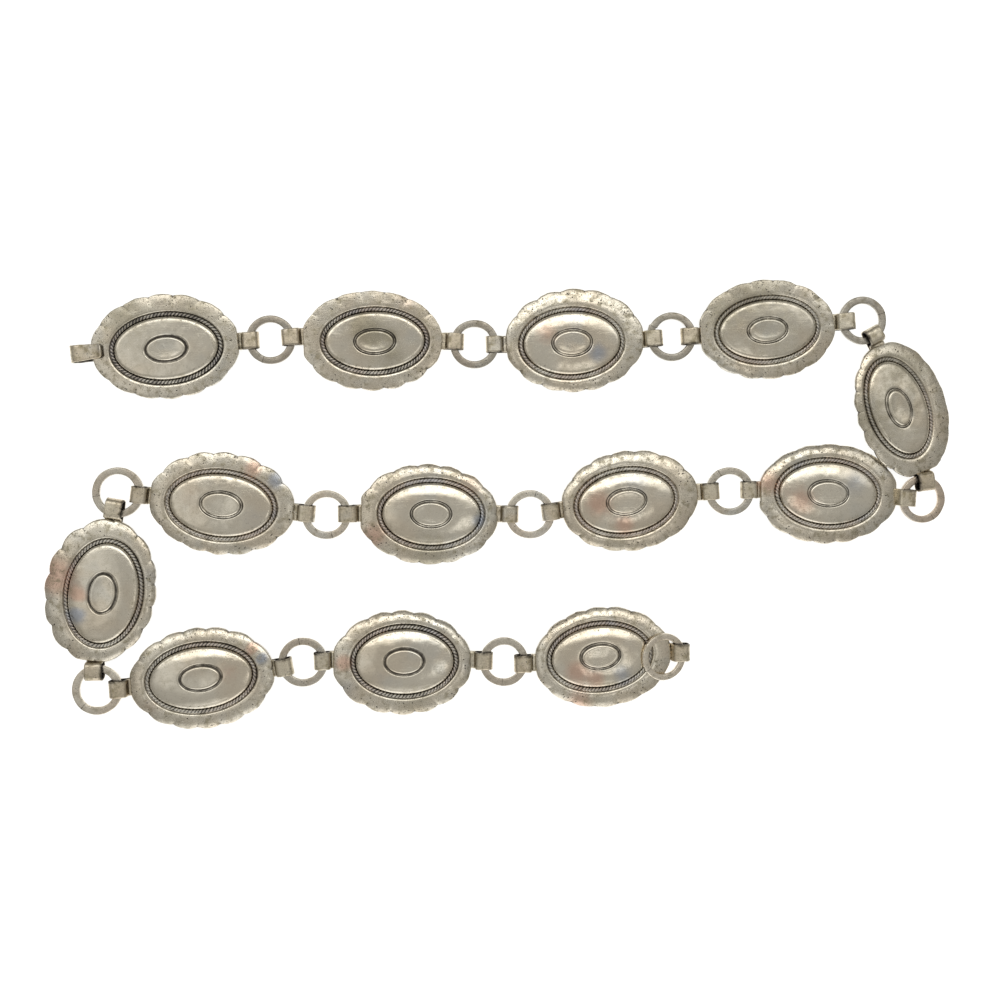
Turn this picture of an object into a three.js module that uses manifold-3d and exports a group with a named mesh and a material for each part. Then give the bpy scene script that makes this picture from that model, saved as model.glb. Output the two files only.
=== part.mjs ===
// Concho belt laid out flat in three rows: thirteen stamped oval plates with
// scalloped rims, joined by flat rings, a folded hook on the first plate and
// a loose end ring folded back over the last one.  Millimetres, +Z up.
import * as THREE from 'three';
import Module from 'manifold-3d';

const wasm = await Module();
wasm.setup();

// ---- sheet and plate heights (mm above the table) ----
const SHEET = 0.9;            // thickness of the stamped sheet
const Z_EDGE = 2.5;           // top of the rim at its cut edge
const Z_MID = 3.15;           // top of the rim where it turns down
const Z_CREST = 3.45;         // ridge outside the rope border
const Z_VALLEY = 2.95;        // valley that holds the rope border
const Z_ROPE = 3.8;           // top of the rope border
const Z_SHOULDER = 4.2;       // rounded shoulder of the field
const Z_FIELD = 4.85;         // field beside the boss
const Z_GROOVE = 4.5;         // line around the boss
const Z_BOSS = 5.3;           // edge of the boss top
const Z_CENTRE = 5.6;         // middle of the boss

// ---- distances of those lines from the rope border and the boss line ----
const MID_SHARE = 0.6;        // place of that turn between crest and edge
const CREST_OUT = 2.0;
const VALLEY_OUT = 1.05;
const VALLEY_IN = 1.05;
const SHOULDER_IN = 2.3;
const BOSS_OVER_ROPE_A = 0.368;
const BOSS_OVER_ROPE_B = 0.357;
const GROOVE_OUT = 0.8;       // half width of the line around the boss
const BOSS_IN = 0.8;

// ---- scallops: places of the notches on one side, as degrees of turn ----
const NOTCHES = [-3, 25, 50.5, 77, 104, 130, 155, 183];
const BULGE = 0.8;

// ---- strip loops, hook and rings ----
const STRIP_W = 6.0;
const STRIP_T = 0.8;
const EYE_TOP = 3.75;         // top of a loop where it passes over its ring
const EYE_GAP = 0.4;          // room on each side of the ring inside a loop
const EYE_SKY = 0.35;         // room above it
const EYE_START = 0.45;       // least distance of the hollow from the rim
const EYE_REACH = 6.9;        // least length of a loop outside the rim
const AIM = 0.6;              // how far a loop turns toward its ring
const TAIL = 4.8;             // length of a strip under its plate
const RING_T = 1.3;
const HOOK_W = 6.0;
const HOOK_TIP_W = 4.4;

// one row a plate: place, turn and roll of the rope border, its half axes, the
// offset of the boss, the offset, half axes and turn of the cut blank, the
// depth and shift of the scallops on the two sides; then for each end the
// reach of the rim, the sideways place of the strip and the ring it holds
const PLATES = [
  { n: '01', x: -117.4, y:  54.0, turn:   5.1, roll:  0.0, a: 18.90, b: 11.92, bu:  0.16, bv: -0.26, ru: -0.41, rv:  0.62, ra: 25.86, rb: 18.48, rt: -1.3, dUp: 0.67, sUp:  0.3, dLow: 0.70, sLow: -0.5, eM: 26.0, vM:  0.9, eP: 25.0, vP:  0.4, ringM: 0, ringP: 1 },
  { n: '02', x:  -44.5, y:  56.8, turn:   1.5, roll:  0.0, a: 18.42, b: 11.21, bu:  0.03, bv: -0.23, ru: -1.13, rv:  0.02, ra: 25.19, rb: 17.74, rt: -1.3, dUp: 0.35, sUp:  0.1, dLow: 0.88, sLow: -5.0, eM: 25.3, vM:  2.4, eP: 24.1, vP: -0.4, ringM: 1, ringP: 2 },
  { n: '03', x:   25.6, y:  56.3, turn:   3.0, roll:  0.0, a: 18.22, b: 12.11, bu: -0.04, bv:  0.12, ru:  1.18, rv:  0.94, ra: 25.18, rb: 18.57, rt:  0.1, dUp: 0.75, sUp: -3.8, dLow: 0.72, sLow:  0.5, eM: 23.6, vM:  0.9, eP: 26.2, vP:  0.3, ringM: 2, ringP: 3 },
  { n: '04', x:   96.5, y:  61.4, turn:   5.2, roll:  0.0, a: 18.55, b: 11.56, bu: -0.32, bv: -0.17, ru: -0.07, rv:  0.10, ra: 25.24, rb: 17.96, rt: -2.4, dUp: 0.46, sUp:  2.0, dLow: 0.71, sLow:  2.1, eM: 24.5, vM:  0.1, eP: 25.9, vP:  0.7, ringM: 3, ringP: 4 },
  { n: '05', x:  144.3, y:  33.2, turn: -69.3, roll: -5.0, a: 18.32, b: 11.41, bu: -0.05, bv: -0.44, ru:  1.14, rv:  1.42, ra: 25.35, rb: 17.36, rt: -3.1, dUp: 0.35, sUp: -2.1, dLow: 0.69, sLow: -1.0, eM: 23.5, vM:  1.7, eP: 25.2, vP:  1.1, ringM: 4, ringP: 5 },
  { n: '06', x:  118.7, y:   2.3, turn:  -2.2, roll:  0.0, a: 18.74, b: 12.06, bu: -0.45, bv:  0.12, ru:  0.35, rv: -0.29, ra: 26.00, rb: 18.16, rt:  3.3, dUp: 0.48, sUp: -1.7, dLow: 0.78, sLow: -2.1, eM: 24.5, vM:  0.4, eP: 25.7, vP: -0.5, ringM: 6, ringP: 5 },
  { n: '07', x:   45.2, y:  -0.6, turn:   7.9, roll:  0.0, a: 18.17, b: 11.77, bu: -0.07, bv:  0.31, ru:  1.46, rv:  0.19, ra: 25.01, rb: 18.04, rt:  0.3, dUp: 0.71, sUp: -4.7, dLow: 0.68, sLow:  2.6, eM: 23.0, vM:  0.3, eP: 26.7, vP: -0.3, ringM: 7, ringP: 6 },
  { n: '08', x:  -24.6, y:  -4.6, turn:  -1.1, roll:  0.0, a: 18.24, b: 11.94, bu:  0.01, bv:  0.13, ru: -1.09, rv: -0.24, ra: 25.10, rb: 17.99, rt: -1.4, dUp: 0.84, sUp:  3.0, dLow: 0.76, sLow:  0.0, eM: 25.0, vM: -0.3, eP: 23.9, vP:  0.3, ringM: 8, ringP: 7 },
  { n: '09', x:  -98.4, y:  -1.2, turn:  -6.4, roll:  0.0, a: 18.79, b: 11.86, bu:  0.23, bv:  0.29, ru:  0.03, rv:  0.57, ra: 25.72, rb: 18.23, rt: -1.2, dUp: 0.99, sUp:  1.2, dLow: 0.84, sLow:  0.8, eM: 25.0, vM:  0.4, eP: 25.6, vP:  0.1, ringM: 9, ringP: 8 },
  { n: '10', x: -139.1, y: -31.9, turn:  82.5, roll:  0.0, a: 18.40, b: 12.96, bu:  0.24, bv: -0.10, ru:  0.45, rv:  1.48, ra: 25.41, rb: 19.36, rt: -1.2, dUp: 1.22, sUp: -0.2, dLow: 0.79, sLow:  2.9, eM: 24.3, vM:  0.5, eP: 26.3, vP:  0.7, ringM: 10, ringP: 9 },
  { n: '11', x: -105.4, y: -61.9, turn:   6.0, roll:  0.0, a: 18.76, b: 11.64, bu:  0.29, bv:  0.37, ru:  0.11, rv: -0.38, ra: 25.52, rb: 17.85, rt: -0.9, dUp: 0.80, sUp:  2.9, dLow: 0.94, sLow:  2.8, eM: 24.9, vM: -0.9, eP: 25.2, vP: -0.1, ringM: 10, ringP: 11 },
  { n: '12', x:  -34.0, y: -56.9, turn:   0.1, roll:  0.0, a: 18.24, b: 12.22, bu: -0.04, bv:  0.31, ru: -0.97, rv: -0.67, ra: 24.93, rb: 18.39, rt: -1.0, dUp: 0.74, sUp:  1.8, dLow: 1.03, sLow: -2.7, eM: 25.3, vM:  0.5, eP: 23.9, vP: -0.2, ringM: 11, ringP: 12 },
  { n: '13', x:   35.7, y: -55.8, turn:   6.1, roll:  0.0, a: 18.27, b: 11.65, bu: -0.01, bv:  0.39, ru:  1.16, rv: -0.59, ra: 24.79, rb: 17.72, rt:  0.3, dUp: 0.67, sUp: -3.4, dLow: 0.45, sLow:  0.9, eM: 23.3, vM:  0.0, eP: 26.0, vP: -1.8, ringM: 12, ringP: 13 },
];

// one row a ring: its centre, outer radius, the width of its flat band and its
// height above the table, how far one side is lifted and the direction of
// that; row 13 is the end ring
const RINGS = [
  { x:  -81.4, y:  57.2, r: 8.65, w: 2.55, z: 1.15, lift: 0, toward: 0 },
  { x:   -9.2, y:  55.9, r: 8.68, w: 2.55, z: 1.15, lift: 0, toward: 0 },
  { x:   61.9, y:  58.9, r: 8.79, w: 2.55, z: 1.15, lift: 0, toward: 0 },
  { x:  131.8, y:  65.0, r: 8.69, w: 2.55, z: 1.50, lift: 0, toward: 0 },
  { x:  153.8, y:   0.0, r: 8.65, w: 2.55, z: 0.90, lift: 4, toward: 180 },
  { x:   83.1, y:   3.0, r: 8.72, w: 2.55, z: 1.15, lift: 0, toward: 0 },
  { x:   10.7, y:  -5.0, r: 8.71, w: 2.55, z: 1.15, lift: 0, toward: 0 },
  { x:  -61.7, y:  -4.8, r: 8.65, w: 2.55, z: 1.15, lift: 0, toward: 0 },
  { x: -134.6, y:   3.3, r: 8.89, w: 2.55, z: 1.15, lift: 0, toward: 0 },
  { x: -141.7, y: -66.0, r: 8.70, w: 2.55, z: 1.15, lift: 0, toward: 0 },
  { x:  -70.0, y: -57.1, r: 8.65, w: 2.55, z: 1.15, lift: 0, toward: 0 },
  { x:    1.3, y: -57.7, r: 8.66, w: 2.55, z: 1.15, lift: 0, toward: 0 },
  { x:   58.3, y: -56.1, r: 8.40, w: 2.25, z: 1.15, lift: 13, toward: 180 },
];
const END_RING = 13;
const END_EYE_TOP = 4.35;     // the last loop is taller, for the lifted ring
const END_REACH = 6.6;

const RAD = Math.PI / 180;

const silver = (hex, roughness) => new THREE.MeshStandardMaterial({ color: hex, roughness, metalness: 0.95 });
const PLATE_METAL = silver(0xa59e91, 0.34);
const RING_METAL = silver(0x9c9789, 0.4);

// ---------------------------------------------------------------- outline
function bulge(deg, shift) {
  for (let i = 0; i + 1 < NOTCHES.length; i++) {
    const lo = NOTCHES[i] + shift, hi = NOTCHES[i + 1] + shift;
    if (deg >= lo && deg <= hi) return Math.pow(Math.max(0, Math.sin(Math.PI * (deg - lo) / (hi - lo))), BULGE);
  }
  return 1;
}

// distance of the cut edge from the middle of the rope border
function edgeRadius(p, deg) {
  const c = Math.cos((deg - p.rt) * RAD), s = Math.sin((deg - p.rt) * RAD);
  const a = (c / p.ra) ** 2 + (s / p.rb) ** 2;
  const b = -2 * (p.ru * c / p.ra ** 2 + p.rv * s / p.rb ** 2);
  const k = (p.ru / p.ra) ** 2 + (p.rv / p.rb) ** 2 - 1;
  const r = (-b + Math.sqrt(b * b - 4 * a * k)) / (2 * a);
  const cut = deg < 180 ? p.dUp * (1 - bulge(deg, p.sUp)) : p.dLow * (1 - bulge(deg - 180, p.sLow));
  const along = Math.cos(deg * RAD);
  const end = along > 0 ? p.eP : p.eM;      // the ends are cut blunt
  return Math.min(r - cut, end / Math.max(Math.abs(along), 1e-6));
}

// three directions to a scallop, shared by every line of the plate
function directions(p) {
  const out = [];
  for (const side of [0, 1]) {
    const shift = side ? p.sLow : p.sUp;
    const marks = NOTCHES.map((d) => d + shift);
    marks[0] = 0;
    marks[marks.length - 1] = 180;
    for (let i = 0; i + 1 < marks.length; i++)
      for (let j = 0; j < 3; j++) out.push(side * 180 + marks[i] + (marks[i + 1] - marks[i]) * j / 3);
  }
  return out;
}

// points of one line: an ellipse offset outward by d
function ellipseLine(degs, a, b, d, cu, cv, z) {
  return degs.map((deg) => {
    const t = Math.atan2(1.4 * Math.sin(deg * RAD), Math.cos(deg * RAD));
    const nx = Math.cos(t) * b, ny = Math.sin(t) * a, l = Math.hypot(nx, ny);
    return [cu + a * Math.cos(t) + d * nx / l, cv + b * Math.sin(t) + d * ny / l, z];
  });
}

// ------------------------------------------------------------ mesh helpers
function addLine(verts, pts) {
  const first = verts.length;
  for (const q of pts) verts.push(q);
  return { first, n: pts.length };
}

// joins two closed lines, the outer one with as many or twice the points
function join(tris, outer, inner, up) {
  const step = outer.n / inner.n;
  const put = (a, b, c) => (up ? tris.push([a, b, c]) : tris.push([a, c, b]));
  for (let j = 0; j < inner.n; j++) {
    const i0 = inner.first + j, i1 = inner.first + (j + 1) % inner.n;
    const o = (k) => outer.first + (j * step + k) % outer.n;
    if (step === 1) {
      put(o(0), o(1), i1);
      put(o(0), i1, i0);
    } else {
      put(o(0), o(1), i0);
      put(o(1), i1, i0);
      put(o(1), o(2), i1);
    }
  }
}

function toGeometry(verts, tris) {
  const g = new THREE.BufferGeometry();
  g.setAttribute('position', new THREE.BufferAttribute(new Float32Array(verts.flat()), 3));
  g.setIndex(tris.flat());
  return g;
}

// merges equal vertices and returns a manifold solid
function toSolid(geometry) {
  const src = geometry.index ? geometry.toNonIndexed() : geometry;
  const pos = src.attributes.position;
  const keys = new Map(), vertProperties = [], triVerts = [];
  for (let i = 0; i < pos.count; i++) {
    const v = [pos.getX(i), pos.getY(i), pos.getZ(i)].map((c) => Math.round(c * 1e4) / 1e4);
    const key = v.join(',');
    if (!keys.has(key)) { keys.set(key, keys.size); vertProperties.push(...v); }
    triVerts.push(keys.get(key));
  }
  return new wasm.Manifold(new wasm.Mesh({
    numProp: 3,
    vertProperties: new Float32Array(vertProperties),
    triVerts: new Uint32Array(triVerts),
  }));
}

function fromSolid(solid) {
  const m = solid.getMesh();
  const g = new THREE.BufferGeometry();
  const pts = [];
  for (let i = 0; i < m.vertProperties.length; i += m.numProp)
    pts.push(m.vertProperties[i], m.vertProperties[i + 1], m.vertProperties[i + 2]);
  g.setAttribute('position', new THREE.BufferAttribute(new Float32Array(pts), 3));
  g.setIndex(Array.from(m.triVerts));
  return g;
}

// a flat outline in length and height, given the width of a strip
function strip(outline, hole, width) {
  const shape = new THREE.Shape(outline.map(([s, z]) => new THREE.Vector2(s, z)));
  if (hole) shape.holes.push(new THREE.Path(hole.map(([s, z]) => new THREE.Vector2(s, z))));
  const g = new THREE.ExtrudeGeometry(shape, { depth: width, bevelEnabled: false, curveSegments: 1 });
  g.rotateX(Math.PI / 2);                 // height becomes +Z, width runs to -Y
  g.translate(0, width / 2, 0);
  g.deleteAttribute('normal');
  g.deleteAttribute('uv');
  return g;
}

// ------------------------------------------------------------------ pieces
function plate(p) {
  const degs = directions(p);
  const half = degs.filter((_, i) => i % 2 === 0);
  const verts = [], tris = [];
  const edge = (z) => degs.map((deg) => {
    const r = edgeRadius(p, deg);
    return [r * Math.cos(deg * RAD), r * Math.sin(deg * RAD), z];
  });
  const rope = (d, z) => ellipseLine(half, p.a, p.b, d, 0, 0, z);
  const boss = (d, z) => ellipseLine(half, p.a * BOSS_OVER_ROPE_A, p.b * BOSS_OVER_ROPE_B, d, p.bu, p.bv, z);
  const crest = rope(CREST_OUT, Z_CREST);
  const rimEdge = edge(Z_EDGE);
  const mid = crest.map((q, i) => [0, 1].map((c) => q[c] + (rimEdge[2 * i][c] - q[c]) * MID_SHARE).concat(Z_MID));

  const top = [
    rimEdge, mid, crest,
    rope(VALLEY_OUT, Z_VALLEY), rope(0, Z_ROPE), rope(-VALLEY_IN, Z_VALLEY + 0.15),
    rope(-SHOULDER_IN, Z_SHOULDER),
    boss(GROOVE_OUT, Z_FIELD), boss(0, Z_GROOVE), boss(-BOSS_IN, Z_BOSS),
  ].map((l) => addLine(verts, l));
  for (let i = 0; i + 1 < top.length; i++) join(tris, top[i], top[i + 1], true);
  const centre = verts.push([p.bu, p.bv, Z_CENTRE]) - 1;
  const last = top[top.length - 1];
  for (let j = 0; j < last.n; j++) tris.push([last.first + j, last.first + (j + 1) % last.n, centre]);

  const under = [
    edge(Z_EDGE - SHEET),
    rope(CREST_OUT, Z_CREST - SHEET),
    rope(-VALLEY_IN - 0.3, Z_VALLEY - SHEET + 0.25),
    rope(-SHOULDER_IN - 0.7, Z_SHOULDER - SHEET),
  ].map((l) => addLine(verts, l));
  for (let i = 0; i + 1 < under.length; i++) join(tris, under[i], under[i + 1], false);
  const low = verts.push([p.bu, p.bv, Z_CENTRE - SHEET - 0.3]) - 1;
  const lastUnder = under[under.length - 1];
  for (let j = 0; j < lastUnder.n; j++) tris.push([lastUnder.first + (j + 1) % lastUnder.n, lastUnder.first + j, low]);

  join(tris, under[0], top[0], true);     // the cut edge itself
  return toGeometry(verts, tris);
}

// strip folded round a ring, from the rim end outward along +X: the hollow
// runs from `start` to `end`
function loopStrip(start, end, eyeTop) {
  const tip = end + STRIP_T;
  const roof = eyeTop - STRIP_T;
  const floor = STRIP_T;
  return strip([
    [-TAIL, 0.9], [-TAIL + 1.6, 0], [tip - 0.7, 0], [tip - 0.15, 0.5], [tip, 1.3],
    [tip, eyeTop - 1.1], [tip - 0.2, eyeTop - 0.35], [tip - 0.8, eyeTop],
    [start + 0.75, eyeTop], [start - 0.1, eyeTop - 0.45], [start - 0.8, 2.0], [-TAIL, 2.95],
  ], [
    [start + 0.1, floor], [start, floor + 0.6], [start + 0.35, roof - 0.35], [start + 0.9, roof],
    [end - 0.5, roof], [end - 0.05, roof - 0.5], [end, floor + 0.6], [end - 0.3, floor],
  ], STRIP_W);
}

// room that a ring needs inside a loop, with its centre at (s, w) from the
// rim end; `far` for the ring that lies back over its plate
function room(s, w, outer, band, far) {
  let start = Infinity, end = -Infinity;
  for (let i = -4; i <= 4; i++) {
    const d = i * STRIP_W / 8 - w;
    const near = Math.sqrt((outer - band) ** 2 - d * d), rim = Math.sqrt(outer ** 2 - d * d);
    start = Math.min(start, far ? s + near : s - rim);
    end = Math.max(end, far ? s + rim : s - near);
  }
  return { start: start - EYE_GAP, end: end + EYE_GAP };
}

// strip folded back over itself: from the rim end outward along +X
function hookStrip() {
  const g = strip([
    [-TAIL, 0.9], [-TAIL + 1.6, 0], [6.2, 0], [7.0, 0.5], [7.45, 1.5], [7.5, 2.5],
    [7.15, 3.5], [6.4, 4.1], [5.2, 4.25], [0.6, 4.35], [-2.6, 4.6], [-4.0, 5.15],
    [-4.35, 4.45], [-2.9, 3.8], [0.6, 3.55], [5.0, 3.45], [6.0, 3.3], [6.55, 2.7],
    [6.6, 2.0], [6.4, 1.3], [5.8, 0.85], [0.9, 0.8], [0.5, 1.9], [-TAIL, 2.95],
  ], null, HOOK_W);
  const pos = g.attributes.position;
  for (let i = 0; i < pos.count; i++) {
    const s = pos.getX(i);
    if (pos.getZ(i) < 3.0) continue;      // only the upper leg narrows
    const k = Math.min(1, Math.max(0, (6.4 - s) / 10.4));
    pos.setY(i, pos.getY(i) * (1 + k * (HOOK_TIP_W / HOOK_W - 1)));
  }
  return g;
}

function place(geometry, u, v, deg) {
  geometry.rotateZ(deg * RAD);
  geometry.translate(u, v, 0);
  return geometry;
}

function endOf(p, sign) {
  const deg = sign > 0 ? 0 : 180;
  const v = sign > 0 ? p.vP : p.vM;
  return { u: sign * edgeRadius(p, deg), v };
}

function concho(p) {
  let solid = toSolid(plate(p));
  for (const sign of [-1, 1]) {
    const ringNo = sign > 0 ? p.ringP : p.ringM;
    const e = endOf(p, sign);
    if (ringNo === 0) {
      solid = solid.add(toSolid(place(hookStrip(), e.u, e.v, 180 + 1.5)));
      continue;
    }
    const r = RINGS[ringNo - 1];
    const far = ringNo === END_RING;
    const c = Math.cos(p.turn * RAD), q = Math.sin(p.turn * RAD);
    const du = (r.x - p.x) * c + (r.y - p.y) * q - e.u;
    const dv = -(r.x - p.x) * q + (r.y - p.y) * c - e.v;
    // the loop turns part of the way from the long axis to its ring
    const off = Math.atan2(sign * dv, sign * du) * AIM;
    const turn = far ? -6 * RAD : off;
    const s = sign * du * Math.cos(turn) + sign * dv * Math.sin(turn);
    const w = -sign * du * Math.sin(turn) + sign * dv * Math.cos(turn);
    const need = room(s, w, r.r, r.w, far);
    const start = far ? Math.min(2.2, need.start) : Math.min(1.9, Math.max(EYE_START, need.start));
    const end = Math.max(need.end, (far ? END_REACH : EYE_REACH) - STRIP_T);
    // a ring that lies higher here needs a taller loop
    const toLoop = Math.atan2(e.v * c + e.u * q + p.y - r.y, e.u * c - e.v * q + p.x - r.x);
    const under = r.z + r.r * (1 + Math.cos(toLoop - r.toward * RAD)) * Math.sin(r.lift * RAD);
    const high = Math.max(EYE_TOP, under + RING_T + EYE_SKY + STRIP_T);
    const loop = loopStrip(start, end, far ? END_EYE_TOP : high);
    solid = solid.add(toSolid(place(loop, e.u, e.v, turn / RAD + (sign > 0 ? 0 : 180))));
  }
  const g = fromSolid(solid);
  g.rotateX(p.roll * RAD);                  // a rolled plate rests on one side
  g.rotateZ(p.turn * RAD);
  g.computeBoundingBox();
  g.translate(p.x, p.y, -g.boundingBox.min.z);
  return g;
}

function ring(r) {
  const shape = new THREE.Shape();
  shape.absarc(0, 0, r.r, 0, 2 * Math.PI, false);
  const hole = new THREE.Path();
  hole.absarc(0, 0, r.r - r.w, 0, 2 * Math.PI, true);
  shape.holes.push(hole);
  const g = new THREE.ExtrudeGeometry(shape, { depth: RING_T, bevelEnabled: false, curveSegments: 15 });
  g.deleteAttribute('normal');
  g.deleteAttribute('uv');
  if (r.lift) {
    // swings up about the side that its loop holds
    g.rotateZ(-r.toward * RAD);
    g.translate(r.r, 0, 0);
    g.rotateY(-r.lift * RAD);
    g.translate(-r.r, 0, 0);
    g.rotateZ(r.toward * RAD);
  }
  g.translate(r.x, r.y, r.z);
  return g;
}

// ---------------------------------------------------------------- assembly
const belt = new THREE.Group();
belt.name = 'concho_belt';

const parts = [];
for (const p of PLATES) parts.push({ name: `concho_${p.n}`, geometry: concho(p), material: PLATE_METAL });
RINGS.forEach((r, i) => parts.push({
  name: i + 1 === END_RING ? 'end_ring' : `ring_${String(i + 1).padStart(2, '0')}`,
  geometry: fromSolid(toSolid(ring(r))),
  material: RING_METAL,
}));

// origin: middle of the layout, on the table
const box = new THREE.Box3();
for (const part of parts) {
  part.geometry.computeBoundingBox();
  box.union(part.geometry.boundingBox);
}
const mid = box.getCenter(new THREE.Vector3());
for (const part of parts) {
  part.geometry.translate(-mid.x, -mid.y, -box.min.z);
  const g = part.geometry.toNonIndexed();
  g.computeVertexNormals();
  const mesh = new THREE.Mesh(g, part.material);
  mesh.name = part.name;
  belt.add(mesh);
}

export default belt;
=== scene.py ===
import bpy, math
import numpy as np
from mathutils import Matrix, Vector


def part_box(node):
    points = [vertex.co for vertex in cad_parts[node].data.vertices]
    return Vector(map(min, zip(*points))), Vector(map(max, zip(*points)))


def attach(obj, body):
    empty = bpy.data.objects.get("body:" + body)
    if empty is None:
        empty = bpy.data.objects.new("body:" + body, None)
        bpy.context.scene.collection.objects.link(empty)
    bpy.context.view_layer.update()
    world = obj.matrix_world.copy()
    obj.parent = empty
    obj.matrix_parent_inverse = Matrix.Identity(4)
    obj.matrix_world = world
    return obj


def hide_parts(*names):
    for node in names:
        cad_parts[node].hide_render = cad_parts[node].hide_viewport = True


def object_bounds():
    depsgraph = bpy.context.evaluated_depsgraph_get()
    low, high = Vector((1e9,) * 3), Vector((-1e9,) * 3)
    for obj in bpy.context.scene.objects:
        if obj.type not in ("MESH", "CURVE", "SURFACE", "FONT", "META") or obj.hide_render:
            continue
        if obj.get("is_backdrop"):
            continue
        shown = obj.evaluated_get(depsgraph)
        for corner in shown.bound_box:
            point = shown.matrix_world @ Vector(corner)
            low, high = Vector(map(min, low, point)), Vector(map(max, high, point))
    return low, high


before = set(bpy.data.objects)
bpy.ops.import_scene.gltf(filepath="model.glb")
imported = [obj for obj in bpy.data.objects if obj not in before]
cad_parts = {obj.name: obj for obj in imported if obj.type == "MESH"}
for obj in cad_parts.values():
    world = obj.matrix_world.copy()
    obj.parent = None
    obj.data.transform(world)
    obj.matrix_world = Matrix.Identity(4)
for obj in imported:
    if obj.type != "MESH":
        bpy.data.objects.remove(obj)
CAD_LO, CAD_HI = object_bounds()
MM = 0.001
RAD = math.pi / 180

# ------------------------------------------------------------------ layout
# one row a plate, as in the CAD: place, turn and roll of the rope border, its
# half axes, offset of the boss, offset, half axes and turn of the cut blank,
# depth and shift of the scallops, then for each end the reach of the rim, the
# sideways place of the strip and the ring that it holds
PLATE_COLS = ("n x y turn roll a b bu bv ru rv ra rb rt dUp sUp dLow sLow "
              "eM vM eP vP ringM ringP").split()
PLATE_ROWS = [
    ("01", -117.4, 54.0, 5.1, 0.0, 18.90, 11.92, 0.16, -0.26, -0.41, 0.62, 25.86, 18.48, -1.3, 0.67, 0.3, 0.70, -0.5, 26.0, 0.9, 25.0, 0.4, 0, 1),
    ("02", -44.5, 56.8, 1.5, 0.0, 18.42, 11.21, 0.03, -0.23, -1.13, 0.02, 25.19, 17.74, -1.3, 0.35, 0.1, 0.88, -5.0, 25.3, 2.4, 24.1, -0.4, 1, 2),
    ("03", 25.6, 56.3, 3.0, 0.0, 18.22, 12.11, -0.04, 0.12, 1.18, 0.94, 25.18, 18.57, 0.1, 0.75, -3.8, 0.72, 0.5, 23.6, 0.9, 26.2, 0.3, 2, 3),
    ("04", 96.5, 61.4, 5.2, 0.0, 18.55, 11.56, -0.32, -0.17, -0.07, 0.10, 25.24, 17.96, -2.4, 0.46, 2.0, 0.71, 2.1, 24.5, 0.1, 25.9, 0.7, 3, 4),
    ("05", 144.3, 33.2, -69.3, -5.0, 18.32, 11.41, -0.05, -0.44, 1.14, 1.42, 25.35, 17.36, -3.1, 0.35, -2.1, 0.69, -1.0, 23.5, 1.7, 25.2, 1.1, 4, 5),
    ("06", 118.7, 2.3, -2.2, 0.0, 18.74, 12.06, -0.45, 0.12, 0.35, -0.29, 26.00, 18.16, 3.3, 0.48, -1.7, 0.78, -2.1, 24.5, 0.4, 25.7, -0.5, 6, 5),
    ("07", 45.2, -0.6, 7.9, 0.0, 18.17, 11.77, -0.07, 0.31, 1.46, 0.19, 25.01, 18.04, 0.3, 0.71, -4.7, 0.68, 2.6, 23.0, 0.3, 26.7, -0.3, 7, 6),
    ("08", -24.6, -4.6, -1.1, 0.0, 18.24, 11.94, 0.01, 0.13, -1.09, -0.24, 25.10, 17.99, -1.4, 0.84, 3.0, 0.76, 0.0, 25.0, -0.3, 23.9, 0.3, 8, 7),
    ("09", -98.4, -1.2, -6.4, 0.0, 18.79, 11.86, 0.23, 0.29, 0.03, 0.57, 25.72, 18.23, -1.2, 0.99, 1.2, 0.84, 0.8, 25.0, 0.4, 25.6, 0.1, 9, 8),
    ("10", -139.1, -31.9, 82.5, 0.0, 18.40, 12.96, 0.24, -0.10, 0.45, 1.48, 25.41, 19.36, -1.2, 1.22, -0.2, 0.79, 2.9, 24.3, 0.5, 26.3, 0.7, 10, 9),
    ("11", -105.4, -61.9, 6.0, 0.0, 18.76, 11.64, 0.29, 0.37, 0.11, -0.38, 25.52, 17.85, -0.9, 0.80, 2.9, 0.94, 2.8, 24.9, -0.9, 25.2, -0.1, 10, 11),
    ("12", -34.0, -56.9, 0.1, 0.0, 18.24, 12.22, -0.04, 0.31, -0.97, -0.67, 24.93, 18.39, -1.0, 0.74, 1.8, 1.03, -2.7, 25.3, 0.5, 23.9, -0.2, 11, 12),
    ("13", 35.7, -55.8, 6.1, 0.0, 18.27, 11.65, -0.01, 0.39, 1.16, -0.59, 24.79, 17.72, 0.3, 0.67, -3.4, 0.45, 0.9, 23.3, 0.0, 26.0, -1.8, 12, 13),
]
PLATES = [dict(zip(PLATE_COLS, r)) for r in PLATE_ROWS]

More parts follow.
